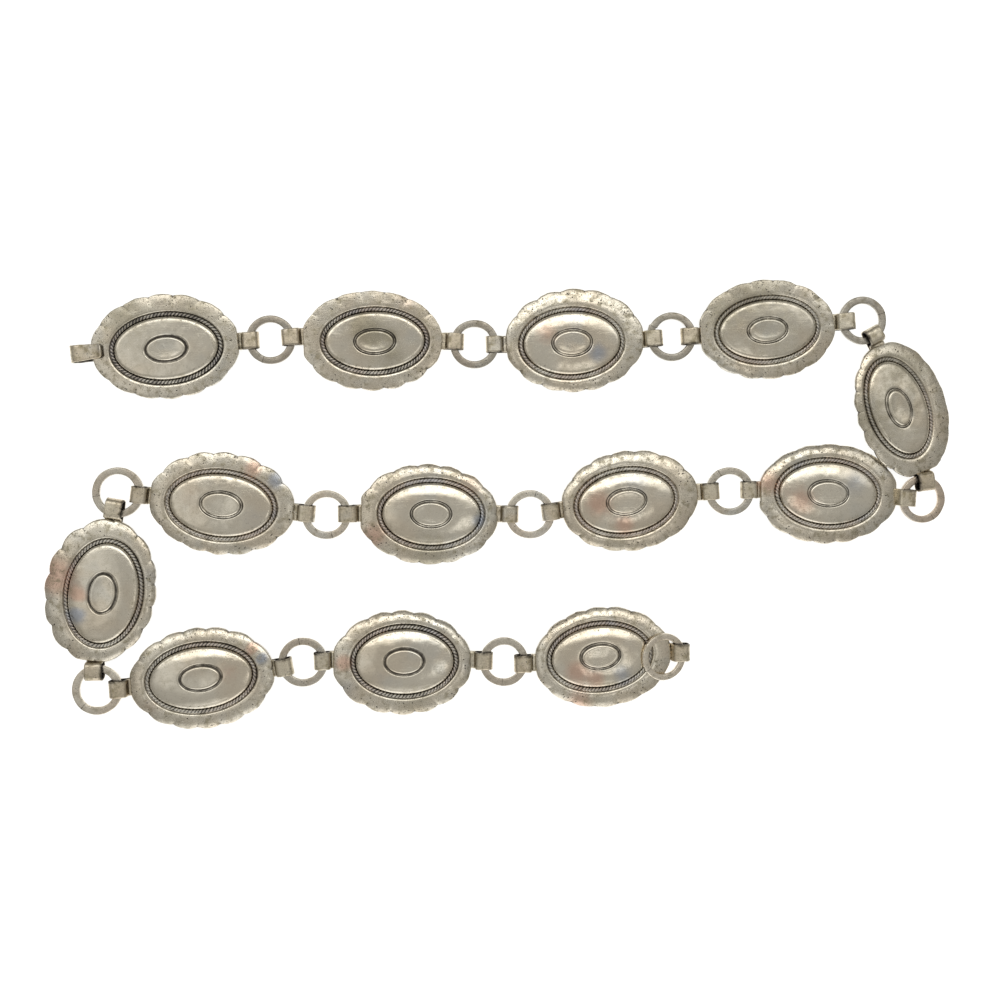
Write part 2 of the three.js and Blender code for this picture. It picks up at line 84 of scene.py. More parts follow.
# how each plate was hammered, lies and has aged, and where a reflection is painted
# on it: fullness of its field, of its upper and of its lower rim, slope with which
# it lies (mm a mm), strength of the line beside the boss and of the oxide, then warm
# (+) spots, which are a painted pink reflection, and cool (-) tinted areas, and olive film as u, v, size, amount
LOOKS = {
    "01": (0.2, 0.3, 0.4, 0.035, 0.85, 1.15, [(0, 0, 30, 0.1)], [(0, 0, 40, 0.3), (-14, 14, 9, 0.5), (12, 14, 7, 0.3)]),
    "02": (0.2, 0.2, 0.4, 0.045, 0.35, 1.0, [(12, 14, 6, 0.5)], [(0, 0, 40, 0.28), (-4.5, 5.5, 2.6, 0.9), (-1.0, 1.0, 2.0, 0.9), (5.5, 1.5, 2.2, 0.7), (-2, 4, 6, 0.5), (6, -6, 5, 0.4)]),
    "03": (0.65, 0.8, 1, 0.02, 0.3, 0.8, [(-9, 4, 5, 0.7), (9, -4, 4, -0.9)], [(15, -12, 7, 0.4)]),
    "04": (0.2, 0.2, 0.8, 0.045, 0.3, 0.75, [(-6, 0, 8, 0.25)], [(0, 0, 40, 0.42), (-18, 8, 7, 0.3), (-4, 14, 8, 0.3)]),
    "05": (0.25, 0.6, 0.7, 0.0, 0.3, 0.8, [(-8, 4, 6, 0.3)], [(0, 0, 40, 0.42), (0, -14, 8, 0.3), (-14, 8, 9, 0.3)]),
    "06": (0.9, 1.1, 1, -0.015, 0.3, 0.8, [(-10, -3, 6, 0.8), (-22, 3, 5, 0.9), (9, 4, 6, -0.6)], [(0, -15, 8, 0.4)]),
    "07": (0.95, 1.1, 1, -0.015, 0.25, 0.75, [(-10, 1, 5, 1.0), (-2, -8, 4, 1.0), (4, 7, 6, -0.5)], [(-6, -15, 9, 0.6)]),
    "08": (1, 1, 1, 0.0, 0.3, 0.85, [(-20, -8, 5, 1.0), (14, 10, 6, 0.5), (17, -2, 3, -0.9)], [(0, -15, 12, 0.7), (22, -6, 6, 0.4)]),
    "09": (0.5, 0.55, 0.9, 0.0, 0.25, 0.8, [(-10, 2, 7, 0.3), (10, 14, 4, 1.0), (18, 11, 4, -1.0), (12, -4, 7, -0.4)], [(8, -15, 8, 0.5)]),
    "10": (0.8, 0.8, 0.9, 0.0, 0.8, 0.95, [(4, 17, 7, 1.2), (-2, 8, 3.5, 1.1), (-8, 8, 4, -1.2), (8, -16, 6, -0.5)], [(-20, 6, 7, 0.4)]),
    "11": (1, 1, 1, -0.03, 0.7, 0.95, [(19, 8, 2.6, 1.3), (21.5, 4.5, 2.4, -1.3), (10, 1, 4.5, 0.5), (-18, -8, 5, 0.4)], [(-10, -14, 8, 0.5)]),
    "12": (1.0, 1.1, 1, -0.05, 0.75, 1.0, [(-21.5, -0.5, 3.4, 1.2), (-20, -9, 5, -0.5), (22, -2, 5, -0.4), (-9, -5, 4, -0.35)], [(4, -15, 9, 0.6)]),
    "13": (1.0, 1.1, 1, -0.05, 0.5, 0.9, [(-9, -4, 4.5, 1.0), (-2, -7.5, 3.5, 0.9), (7, -7, 4.5, -0.7), (-9, -15, 5, 0.9)], [(-4, -14, 10, 0.5)]),
}
for _p in PLATES:
    _p.update(zip("full up low lean line ox hues films".split(), LOOKS[_p["n"]]))

# one row a ring: centre, outer radius, width and height of its band, the tilt
# of one side and its direction, and where its soldered seam is, in degrees
RING_COLS = "x y r w z lift toward seam step".split()
RING_ROWS = [
    (-81.4, 57.2, 8.65, 2.55, 1.15, 0, 0, 250, 0.05),
    (-9.2, 55.9, 8.68, 2.55, 1.15, 0, 0, 40, 0.05),
    (61.9, 58.9, 8.79, 2.55, 1.15, 0, 0, 152, 0.42),
    (131.8, 65.0, 8.69, 2.55, 1.50, 0, 0, 20, 0.05),
    (153.8, 0.0, 8.65, 2.55, 0.90, 4, 180, 300, 0.05),
    (83.1, 3.0, 8.72, 2.55, 1.15, 0, 0, 120, 0.06),
    (10.7, -5.0, 8.71, 2.55, 1.15, 0, 0, 75, 0.05),
    (-61.7, -4.8, 8.65, 2.55, 1.15, 0, 0, 285, 0.05),
    (-134.6, 3.3, 8.89, 2.55, 1.15, 0, 0, 190, 0.08),
    (-141.7, -66.0, 8.70, 2.55, 1.15, 0, 0, 230, 0.05),
    (-70.0, -57.1, 8.65, 2.55, 1.15, 0, 0, 100, 0.05),
    (1.3, -57.7, 8.66, 2.55, 1.15, 0, 0, 265, 0.05),
    (58.3, -56.1, 8.40, 2.25, 1.15, 13, 180, 215, 0.03),
]
RINGS = [dict(zip(RING_COLS, r)) for r in RING_ROWS]
RING_HUES = {5: 0.5, 8: 0.25, 11: 0.3, 12: -0.2}     # warm (+) or cool (-) rings
END_RING = 13
RING_T = 1.3

# the CAD recentres the layout; its shift is read off the first ring
_lo, _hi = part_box("ring_01")
SHIFT = ((_lo + _hi) / 2) / MM - Vector((RINGS[0]["x"], RINGS[0]["y"], 0))

NOTCHES = [-3, 25, 50.5, 77, 104, 130, 155, 183]
BULGE = 0.8
ROPE_TWISTS = 78
STRIP_W, STRIP_T = 6.0, 0.8
EYE_TOP, EYE_GAP, EYE_SKY, EYE_START, EYE_REACH = 3.75, 0.4, 0.35, 0.45, 6.9
END_EYE_TOP, END_REACH, AIM = 4.35, 6.6, 0.6


# ------------------------------------------------------------------- noise
def vnoise(p, seed):
    """Smooth lattice noise, -1 to 1, for an array of points."""
    p = np.asarray(p, float)
    i = np.floor(p).astype(np.int64)
    f = p - i
    f = f * f * f * (f * (f * 6 - 15) + 10)

    def corner(dx, dy, dz):
        n = ((i[..., 0] + dx) * 73856093) ^ ((i[..., 1] + dy) * 19349663) ^ ((i[..., 2] + dz) * 83492791) ^ (seed * 97531 + 12345)
        n = (n ^ (n >> 13)) * 1274126177 & 0x7FFFFFFF
        n = (n ^ (n >> 15)) * 668265263 & 0x7FFFFFFF
        return n / 0x7FFFFFFF * 2 - 1

    out = 0
    for dx in (0, 1):
        for dy in (0, 1):
            for dz in (0, 1):
                w = (f[..., 0] if dx else 1 - f[..., 0]) * (f[..., 1] if dy else 1 - f[..., 1]) * (f[..., 2] if dz else 1 - f[..., 2])
                out = out + w * corner(dx, dy, dz)
    return out


def fbm(p, seed, octaves=3):
    p = np.asarray(p, float)
    return sum(vnoise(p * 2.03 ** k, seed + 17 * k) * 0.5 ** k for k in range(octaves))


def bump01(x, lo, hi):
    """Smooth step from 0 at lo to 1 at hi."""
    t = np.clip((np.asarray(x, float) - lo) / (hi - lo), 0, 1)
    return t * t * (3 - 2 * t)


def curve_through(xs, zs, x):
    """Monotone cubic through a short table of heights."""
    xs, zs, x = np.asarray(xs, float), np.asarray(zs, float), np.asarray(x, float)
    d = np.diff(zs) / np.diff(xs)
    m = np.zeros_like(zs)
    m[0], m[-1] = d[0], d[-1]
    for k in range(1, len(zs) - 1):
        m[k] = 0 if d[k - 1] * d[k] <= 0 else 2 * d[k - 1] * d[k] / (d[k - 1] + d[k])
    k = np.clip(np.searchsorted(xs, x, side="right") - 1, 0, len(xs) - 2)
    h = xs[k + 1] - xs[k]
    t = (x - xs[k]) / h
    return ((2 * t ** 3 - 3 * t ** 2 + 1) * zs[k] + (t ** 3 - 2 * t ** 2 + t) * h * m[k]
            + (-2 * t ** 3 + 3 * t ** 2) * zs[k + 1] + (t ** 3 - t ** 2) * h * m[k + 1])


# ------------------------------------------------------------ mesh builder
class Shell:
    """Collects grids of points, their faces, materials and two values: a recess mask, which is oxide and on strips and
    rope also painted shade, and a zone.
    """

    def __init__(self):
        self.v, self.f, self.m, self.cav, self.zone, self.n = [], [], [], [], [], 0

    def points(self, p, cav=0.0, zone=0.0):
        p = np.asarray(p, float).reshape(-1, 3)
        first = self.n
        self.v.append(p)
        self.cav.append(np.broadcast_to(np.asarray(cav, float).ravel() if np.ndim(cav) else cav, (len(p),)))
        self.zone.append(np.broadcast_to(np.asarray(zone, float).ravel() if np.ndim(zone) else zone, (len(p),)))
        self.n += len(p)
        return first

    def quads(self, q, mat):
        self.f.extend(map(tuple, np.asarray(q).tolist()))
        self.m.extend([mat] * len(q))

    def grid(self, first, rows, cols, mat, wrap_cols=True, wrap_rows=False, flip=False):
        r = np.arange(rows if wrap_rows else rows - 1)
        c = np.arange(cols if wrap_cols else cols - 1)
        R, C = np.meshgrid(r, c, indexing="ij")
        a = first + R * cols + C
        b = first + R * cols + (C + 1) % cols
        d = first + ((R + 1) % rows) * cols + C
        e = first + ((R + 1) % rows) * cols + (C + 1) % cols
        q = np.stack([a, b, e, d], -1).reshape(-1, 4)
        self.quads(q[:, ::-1] if flip else q, mat)

    def fan(self, ring, centre, mat, flip=False):
        n = len(ring)
        for k in range(n):
            t = (ring[k], ring[(k + 1) % n], centre)
            self.f.append(t[::-1] if flip else t)
            self.m.append(mat)


def spots(v, rows):
    """Sum of soft round spots, each u, v, size and amount."""
    out = np.zeros(len(v))
    for u, w, size, amount in rows:
        out += amount * np.exp(-((v[:, 0] - u) ** 2 + (v[:, 1] - w) ** 2) / (size * size))
    return out


def make_object(name, shell, mats, place, hues=(), films=()):
    v = place(np.concatenate(shell.v))
    me = bpy.data.meshes.new(name)
    me.from_pydata((v * MM).tolist(), [], shell.f)
    local = np.concatenate(shell.v)
    # the third attribute holds cool tints and warm spots that are a painted pink reflection
    for a, vals in (("cav", np.concatenate(shell.cav)), ("zone", np.concatenate(shell.zone)),
                    ("tint_and_reflection", spots(local, hues)), ("film", spots(local, films))):
        at = me.attributes.new(a, "FLOAT", "POINT")
        at.data.foreach_set("value", vals.astype(np.float32))
    for m in mats:
        me.materials.append(m)
    me.polygons.foreach_set("material_index", np.array(shell.m, np.int32))
    me.polygons.foreach_set("use_smooth", np.ones(len(me.polygons), bool))
    me.update()
    me.validate()
    o = bpy.data.objects.new(name, me)
    bpy.context.scene.collection.objects.link(o)
    return o


# ------------------------------------------------------------ plate shape
def bulge(deg, shift):
    out = np.ones_like(deg)
    for lo, hi in zip(NOTCHES, NOTCHES[1:]):
        lo, hi = lo + shift, hi + shift
        s = (deg >= lo) & (deg <= hi)
        out[s] = np.maximum(0, np.sin(np.pi * (deg[s] - lo) / (hi - lo))) ** BULGE
    return out


def lobes(p, deg):
    return np.where(deg < 180, bulge(deg, p["sUp"]), bulge(deg - 180, p["sLow"]))


def edge_radius(p, deg):
    c, s = np.cos((deg - p["rt"]) * RAD), np.sin((deg - p["rt"]) * RAD)
    a = (c / p["ra"]) ** 2 + (s / p["rb"]) ** 2
    b = -2 * (p["ru"] * c / p["ra"] ** 2 + p["rv"] * s / p["rb"] ** 2)
    k = (p["ru"] / p["ra"]) ** 2 + (p["rv"] / p["rb"]) ** 2 - 1
    r = (-b + np.sqrt(b * b - 4 * a * k)) / (2 * a)
    depth = np.where(deg < 180, p["dUp"], p["dLow"])
    along = np.cos(deg * RAD)
    end = np.where(along > 0, p["eP"], p["eM"]) / np.maximum(np.abs(along), 1e-6)
    r = r - depth * (1 - lobes(p, deg))
    # a soft corner where the blunt end meets the oval
    k = 0.35
    h = np.clip(0.5 + 0.5 * (end - r) / k, 0, 1)
    return end * (1 - h) + r * h - k * h * (1 - h)


def directions(p, fine):
    out = []
    for side in (0, 1):
        marks = [d + (p["sLow"] if side else p["sUp"]) for d in NOTCHES]
        marks[0], marks[-1] = 0, 180
        for lo, hi in zip(marks, marks[1:]):
            out += [side * 180 + lo + (hi - lo) * j / fine for j in range(fine)]
    return np.array(out)


def ellipse_line(deg, a, b, d, cu=0.0, cv=0.0):
    t = np.arctan2(1.4 * np.sin(deg * RAD), np.cos(deg * RAD))
    nx, ny = np.cos(t) * b, np.sin(t) * a
    l = np.hypot(nx, ny)
    return np.stack([cu + a * np.cos(t) + d * nx / l, cv + b * np.sin(t) + d * ny / l], -1)


FINE = 18          # directions to a scallop
# heights across the rim, from its cut edge (0) to the crest (1)
RIM_SHARE = [0.0, 0.12, 0.40, 0.72, 0.93, 1.0]
RIM_HEIGHT = [2.60, 2.79, 3.14, 3.38, 3.47, 3.47]
# (distance from the rope line, height) over the crest, valley and shoulder
BORDER = [(1.75, 3.45), (1.35, 3.40), (1.1, 3.30), (0.94, 3.15), (0.83, 3.02), (0.75, 2.97), (0.4, 2.95), (0.0, 2.95), (-0.4, 2.95),
          (-0.73, 3.0), (-0.82, 3.2), (-0.93, 3.5), (-1.1, 3.76), (-1.38, 3.96), (-1.78, 4.1), (-2.25, 4.19)]
# (distance from the boss line, height) over its groove and wall
BOSS_EDGE = [(1.05, 4.86), (0.88, 4.82), (0.74, 4.69), (0.62, 4.64), (0.5, 4.72), (0.36, 4.88), (0.22, 4.90), (0.08, 4.82), (-0.05, 4.75),
             (-0.18, 4.9), (-0.32, 5.1), (-0.5, 5.22), (-0.75, 5.28), (-1.1, 5.29)]


def plate_shell(shell, p, seed):
    """The stamped plate, closed: rim, rope valley, field, boss and underside."""
    deg = directions(p, FINE)
    na = len(deg)
    rad = np.stack([np.cos(deg * RAD), np.sin(deg * RAD)], -1)
    # hand-filed edge: a little uneven
    wob = 0.10 * fbm(np.stack([np.cos(deg * RAD) * 9, np.sin(deg * RAD) * 9, deg * 0 + seed], -1), 5, 3)
    rim = rad * (edge_radius(p, deg) + wob - 0.02)[:, None]
    lobe = lobes(p, deg)
    inward = -rad
    rope = lambda d: ellipse_line(deg, p["a"], p["b"], d)
    ba, bb = p["a"] * 0.368, p["b"] * 0.357
    boss = lambda d: ellipse_line(deg, ba, bb, d, p["bu"], p["bv"])

    lines, cav, zone = [], [], []

    def put(xy, z, c=0.0, o=0.0):
        lines.append(np.column_stack([xy, np.broadcast_to(z, (na,))]))
        cav.append(np.broadcast_to(c, (na,)).astype(float))
        zone.append(np.full(na, o))

    notch = (1 - lobe) ** 2.2
    # a flatter rim keeps its crest and carries its edge higher
    side = 0.5 + 0.5 * np.sin(deg * RAD)
    soft = side * side * (3 - 2 * side)
    flat = 1 - (p["low"] + (p["up"] - p["low"]) * soft)
    # cut edge, rounded by wear
    outer, crest = rim + inward * 0.24, rope(2.0)
    width = np.linalg.norm(outer - crest, axis=1)
    # the rim was domed before its scallops were cut, mostly
    whole = width + 0.75 * np.where(deg < 180, p["dUp"], p["dLow"]) * (1 - lobe)
    rise = curve_through(RIM_SHARE, RIM_HEIGHT, 1 - width / whole) - RIM_HEIGHT[0]
    for s, z, c in ((0.10, 1.62, 0.7), (0.0, 1.74, 0.6), (0.0, 2.0, 0.5), (0.0, 2.26, 0.42), (0.05, 2.4, 0.3), (0.14, 2.48, 0.18)):
        put(rim + inward * s, z + rise + 0.87 * flat, np.clip(c + 0.3 * notch, 0, 1), 1.0)
    shares = np.concatenate([np.linspace(0, 0.5, 10), np.linspace(0.5, 1, 8)[1:]])
    for s in shares:
        z = curve_through(RIM_SHARE, RIM_HEIGHT, 1 - (1 - s) * width / whole)
        dist = s * width
        # every scallop is pushed up a little, with a crease at the notch
        swell = (lobe - 0.55) * 0.08 * np.exp(-((dist - 1.2) / 1.7) ** 2)
        crease = -0.08 * (1 - lobe) ** 5 * np.exp(-dist / 1.6)
        put(outer + (crest - outer) * s, z + (3.47 - z) * flat + swell + crease,
            0.20 * np.exp(-dist / 0.4) + 0.55 * (1 - lobe) ** 6 * np.exp(-dist / 1.3), 1.0)
    for d, z in BORDER:
        c = float(np.interp(d, [-1.15, -0.94, -0.82, -0.72, 0.72, 0.8, 0.9, 1.05, 1.4], [0.0, 0.06, 0.35, 0.85, 0.7, 0.4, 0.14, 0.05, 0.0]) * p["ox"] ** 1.5)
        put(rope(d), z, c, 0.5)
    a_, b_ = rope(-2.25), boss(1.05)
    sink = (1 - p["full"]) * (4.86 - 4.19)
    for s in np.linspace(0, 1, 16)[1:-1]:
        z = 4.19 + (4.86 - 4.19) * p["full"] * math.sin(math.pi / 2 * s ** 0.9)
        put(a_ + (b_ - a_) * s, z, 0.0, 0.0)
    outer_line = min(1.0, 1.35 - p["line"])
    for d, z in BOSS_EDGE:
        c = float(np.interp(d, [-0.5, -0.32, -0.14, 0.05, 0.15, 0.28, 0.42, 0.55, 0.72, 0.9, 1.04], [0.0, 0.25, 0.85, 1.0, 0.7, p["line"], 0.7, outer_line, outer_line, 0.4 * outer_line, 0.0]) * min(1.1, p["ox"]))
        put(boss(d), z - sink, c, 0.0)
    top = boss(-1.1)
    mid = np.array([p["bu"], p["bv"]])
    for s in (0.12, 0.26, 0.42, 0.6, 0.78, 0.92):
        put(top + (mid - top) * s, 5.13 + 0.16 * (1 - s) ** 2.2 - sink, 0.0, 0.0)
    L = np.array(lines)
    C = np.array(cav)
    Z = np.array(zone)
    xyz = L.reshape(-1, 3)
    # uneven hand work over the whole face
    q = np.column_stack([xyz[:, 0] * 0.11, xyz[:, 1] * 0.11, np.full(len(xyz), seed * 3.7)])
    xyz[:, 2] += 0.10 * fbm(q, 21, 2) * bump01(xyz[:, 2], 1.9, 2.7)
    q = np.column_stack([xyz[:, 0] * 0.42, xyz[:, 1] * 0.42, np.full(len(xyz), seed * 1.9)])
    xyz[:, 2] += 0.022 * fbm(q, 33, 2) * bump01(xyz[:, 2], 1.9, 2.7)
    xyz[:, 2] += xyz[:, 1] * p["lean"]
    nr = len(lines)
    first = shell.points(xyz, C, Z)
    shell.grid(first, nr, na, 0)
    c = shell.points([[mid[0], mid[1], xyz[-na:, 2].mean()]], 0.0, 0.0)
    last = first + (nr - 1) * na
    shell.fan([last + k for k in range(na)], c, 0)
    # underside
    under = []
    for xy, z in ((rope(3.4), 2.2), (rope(2.0), 2.5), (rope(0.8), 2.15), (rope(-0.9), 2.1), (rope(-2.2), 3.1), (rope(-3.4), 3.35 - sink / 2), (boss(1.5), 3.8 - sink), (boss(-1.0), 4.2 - sink)):
        inside = np.minimum(1, np.linalg.norm(rim, axis=1) * 0.985 / np.linalg.norm(xy, axis=1))
        under.append(np.column_stack([xy * inside[:, None], np.full(na, z)]))
    U = np.array(under).reshape(-1, 3)
    U[:, 2] += U[:, 1] * p["lean"]
    uf = shell.points(U, 0.45, 0.7)
    shell.grid(uf, len(under), na, 0, flip=True)
    a0 = np.arange(na)
    a1 = (a0 + 1) % na
    shell.quads(np.stack([first + a0, uf + a0, uf + a1, first + a1], -1), 0)
    c = shell.points([[mid[0], mid[1], 4.2 - sink]], 0.4, 0.7)
    ul = uf + (len(under) - 1) * na
    shell.fan([ul + k for k in range(na)], c, 0, flip=True)


def rope_shell(shell, p, seed):
    """Twisted wire in the valley round the field."""
    per = 7
    ns, nc = ROPE_TWISTS * per, 12
    # even steps along the oval
    t = np.linspace(0, 2 * np.pi, 4001)
    x, y = p["a"] * np.cos(t), p["b"] * np.sin(t)
    s = np.concatenate([[0], np.cumsum(np.hypot(np.diff(x), np.diff(y)))])
    ts = np.interp(np.linspace(0, s[-1], ns + 1)[:-1], s, t)
    nx, ny = np.cos(ts) * p["b"], np.sin(ts) * p["a"]
    l = np.hypot(nx, ny)
    nx, ny = nx / l, ny / l
    k = np.arange(ns)
    psi = np.linspace(0, 2 * np.pi, nc + 1)[:-1]
    S, P = np.meshgrid(k, psi, indexing="ij")
    # wear and uneven pitch
    wear = 0.5 + 0.5 * vnoise(np.column_stack([np.cos(ts) * 2.2, np.sin(ts) * 2.2, ts * 0 + seed]), 71)
    phase = P - np.pi * S / per + 0.5 * vnoise(np.column_stack([np.cos(ts) * 5, np.sin(ts) * 5, ts * 0 + seed]), 72)[:, None]
    groove = 1 - np.abs(np.cos(phase))
    r = 1 - (0.38 - 0.10 * wear[:, None]) * groove ** 1.5
    across = 0.66 * np.cos(P) * r
    up = 0.58 * np.sin(P) * r
    up = np.where(up > 0.46, 0.46 + (up - 0.46) * (1 - 0.5 * wear[:, None]), up)
    X = p["a"] * np.cos(ts)[:, None] + nx[:, None] * across
    Y = p["b"] * np.sin(ts)[:, None] + ny[:, None] * across
    Z = 3.16 + up + Y * p["lean"]
    # darker in the twist grooves (oxide), darker with the plate's oxide strength, and painted shade on the lower half
    # of the wire
    cav = np.clip(0.9 * (p["ox"] - 0.75) + 1.0 * groove ** 1.5 + 0.6 * bump01(-np.sin(P), -0.5, 0.3) - 0.10 * wear[:, None], 0, 1)
    first = shell.points(np.stack([X, Y, Z], -1), cav, 0.5)
    shell.grid(first, ns, nc, 1, wrap_rows=True, flip=True)


# ------------------------------------------------------------------ strips
def smooth_path(pts, step):
    """Catmull-Rom through the points, sampled at about that step."""
    p = np.asarray(pts, float)
    p = np.vstack([2 * p[0] - p[1], p, 2 * p[-1] - p[-2]])
    out = []
    for k in range(1, len(p) - 2):
        n = max(2, int(round(np.linalg.norm(p[k + 1] - p[k]) / step)))
        t = np.linspace(0, 1, n + 1)[:-1, None]
        out.append(0.5 * ((2 * p[k]) + (-p[k - 1] + p[k + 1]) * t + (2 * p[k - 1] - 5 * p[k] + 4 * p[k + 1] - p[k + 2]) * t ** 2
                          + (-p[k - 1] + 3 * p[k] - 3 * p[k + 1] + p[k + 2]) * t ** 3))
    out.append(p[-2][None])
    return np.vstack(out)


def strip_shell(pts, width, seed, inner, across=12, step=0.34):
    """A flat strip bent along a path of length and height; width is a function
    of the share of the path, and inner tells which face lies inside the bend."""
    path = smooth_path(pts, step)
    n = len(path)
    tan = np.gradient(path, axis=0)
    tan /= np.linalg.norm(tan, axis=1)[:, None]
    nor = np.column_stack([-tan[:, 1], tan[:, 0]])
    share = np.linspace(0, 1, n)
    w = np.array([width(s) for s in share]) / 2
    ht = STRIP_T / 2
    flat = np.linspace(-1, 1, across)
    prof = [(f, -1, 0) for f in flat] + [(1, -0.72, 1), (1, -0.3, 2), (1, 0.3, 2), (1, 0.72, 1)]
    prof += [(f, 1, 0) for f in flat[::-1]] + [(-1, 0.72, 1), (-1, 0.3, 2), (-1, -0.3, 2), (-1, -0.72, 1)]
    verts, cavs = [], []
    for k in range(n):
        row = []
        for f, h, c in prof:
            edge = {0: 0.16, 1: 0.05, 2: 0.0}[c]
            y = f * (w[k] - edge)
            hh = h * ht
            q = path[k] + nor[k] * hh
            row.append((q[0], y, q[1]))
        verts.append(row)
    V = np.array(verts)
    q = V.reshape(-1, 3) * 0.6 + [seed * 5.1, 0, 0]
    V = V.reshape(-1, 3)
    V[:, 1] += 0.10 * fbm(q * [1, 0.2, 1], 41, 2) * np.abs(V[:, 1]) / 3
    V[:, 2] += 0.045 * fbm(q, 43, 2)
    inside = np.tile([1.0 if h * inner > 0 else 0.0 for f, h, c in prof], n)
    return path, nor, V, inside, n, len(prof)


def add_strip(shell, pts, width, seed, place, mat, inner, dark, side=0):
    path, nor, V, inside, n, m = strip_shell(pts, width, seed, inner)
    # painted shade along the strip edge that lies beside the loop's hollow, on the edge chosen for each row
    edge = bump01(side * V[:, 1], STRIP_W / 2 - 0.95, STRIP_W / 2 - 0.5) * bump01(V[:, 0], 0.2, 1.0) * bump01(V[:, 2], 1.2, 2.4) if side else 0.0
    # dark * inside is painted shade on the faces inside the bend, in the loop's hollow
    cav = np.clip(dark * inside + 0.10 + 0.5 * edge, 0, 1)
    first = shell.points(place(V), cav, 0.8)
    shell.grid(first, n, m, mat, flip=False)
    for row, flip in ((0, False), (n - 1, True)):
        idx = [first + row * m + k for k in range(m)]
        a = shell.points(place(V[row * m:(row + 1) * m].mean(0)[None]), 0.2, 0.8)
        shell.fan(idx, a, mat, flip=not flip)


def room(s, w, r, band, far):
    start, end = 1e9, -1e9
    for i in range(-4, 5):
        d = i * STRIP_W / 8 - w
        near, rim = math.sqrt((r - band) ** 2 - d * d), math.sqrt(r * r - d * d)
        start = min(start, s + near if far else s - rim)
        end = max(end, s + rim if far else s - near)
    return start - EYE_GAP, end + EYE_GAP


def loops_of(shell, p, seed):
    for sign in (-1, 1):
        no = p["ringP"] if sign > 0 else p["ringM"]
        eu = sign * (p["eP"] if sign > 0 else p["eM"])
        ev = p["vP"] if sign > 0 else p["vM"]
        if no == 0:
            hook(shell, p, eu, ev, seed)
            continue
        r = RINGS[no - 1]
        far = no == END_RING
        c, q = math.cos(p["turn"] * RAD), math.sin(p["turn"] * RAD)
        du = (r["x"] - p["x"]) * c + (r["y"] - p["y"]) * q - eu
        dv = -(r["x"] - p["x"]) * q + (r["y"] - p["y"]) * c - ev
        turn = -6 * RAD if far else math.atan2(sign * dv, sign * du) * AIM
        s = sign * du * math.cos(turn) + sign * dv * math.sin(turn)
        w = -sign * du * math.sin(turn) + sign * dv * math.cos(turn)
        need = room(s, w, r["r"], r["w"], far)
        start = min(2.2, need[0]) if far else min(1.9, max(EYE_START, need[0]))
        end = max(need[1], (END_REACH if far else EYE_REACH) - STRIP_T)
        to_loop = math.atan2(ev * c + eu * q + p["y"] - r["y"], eu * c - ev * q + p["x"] - r["x"])
        under = r["z"] + r["r"] * (1 + math.cos(to_loop - r["toward"] * RAD)) * math.sin(r["lift"] * RAD)
        top = END_EYE_TOP if far else max(EYE_TOP, under + RING_T + EYE_SKY + STRIP_T)
        a = turn + (0 if sign > 0 else math.pi)
        ca, sa = math.cos(a), math.sin(a)

        def place(v, ca=ca, sa=sa, eu=eu, ev=ev):
            return np.column_stack([eu + v[:, 0] * ca - v[:, 1] * sa, ev + v[:, 0] * sa + v[:, 1] * ca, v[:, 2]])

        zt, m = top - 0.4, (start + end) / 2
        back = min(start - 0.85, 1.0)
        pts = [(-4.6, 1.22), (-2.0, 1.24), (back - 0.3, 1.28), (back + 0.25, 1.55), (start - 0.38, 2.3), (start - 0.05, 3.0),
               (start + 0.55, zt - 0.08), (start + 1.3, zt + 0.0), (m, zt + 0.02), (end - 0.75, zt - 0.03), (end + 0.0, zt - 0.42),
               (end + 0.36, zt - 1.1), (end + 0.36, 1.5), (end + 0.1, 0.78), (end - 0.6, 0.42), (m, 0.4), (start, 0.4), (-4.6, 0.4)]
        # the top-row plates and plate 10 get the painted hollow shade on the other edge of the strip
        add_strip(shell, pts, lambda t: STRIP_W + 0.25 * math.sin(t * 5 + seed) * 0.5, seed * 7 + sign, place, 2, -1, 0.75,
                  -sign if p["n"] in ("01", "02", "03", "04", "05", "10") else sign)


def hook(shell, p, eu, ev, seed):
    a = math.pi + 1.5 * RAD
    ca, sa = math.cos(a), math.sin(a)

    def place(v):
        return np.column_stack([eu + v[:, 0] * ca - v[:, 1] * sa, ev + v[:, 0] * sa + v[:, 1] * ca, v[:, 2]])

    pts = [(-4.6, 0.42), (0.0, 0.4), (4.0, 0.4), (6.0, 0.52), (6.85, 1.15), (7.08, 2.0), (6.85, 2.9), (6.1, 3.55), (5.0, 3.85),
           (2.6, 3.95), (0.2, 4.02), (-1.6, 4.14), (-3.0, 4.4), (-4.05, 4.86)]

    def width(t):
        if t < 0.52:
            return STRIP_W + 0.25
        k = min(1.0, (t - 0.52) / 0.48)
        w = STRIP_W + 0.25 - 1.4 * k
        return w - (1.3 * max(0.0, (k - 0.9) / 0.1) ** 2)   # rounded tip

    add_strip(shell, pts, width, 31, place, 2, 1, 0.6)


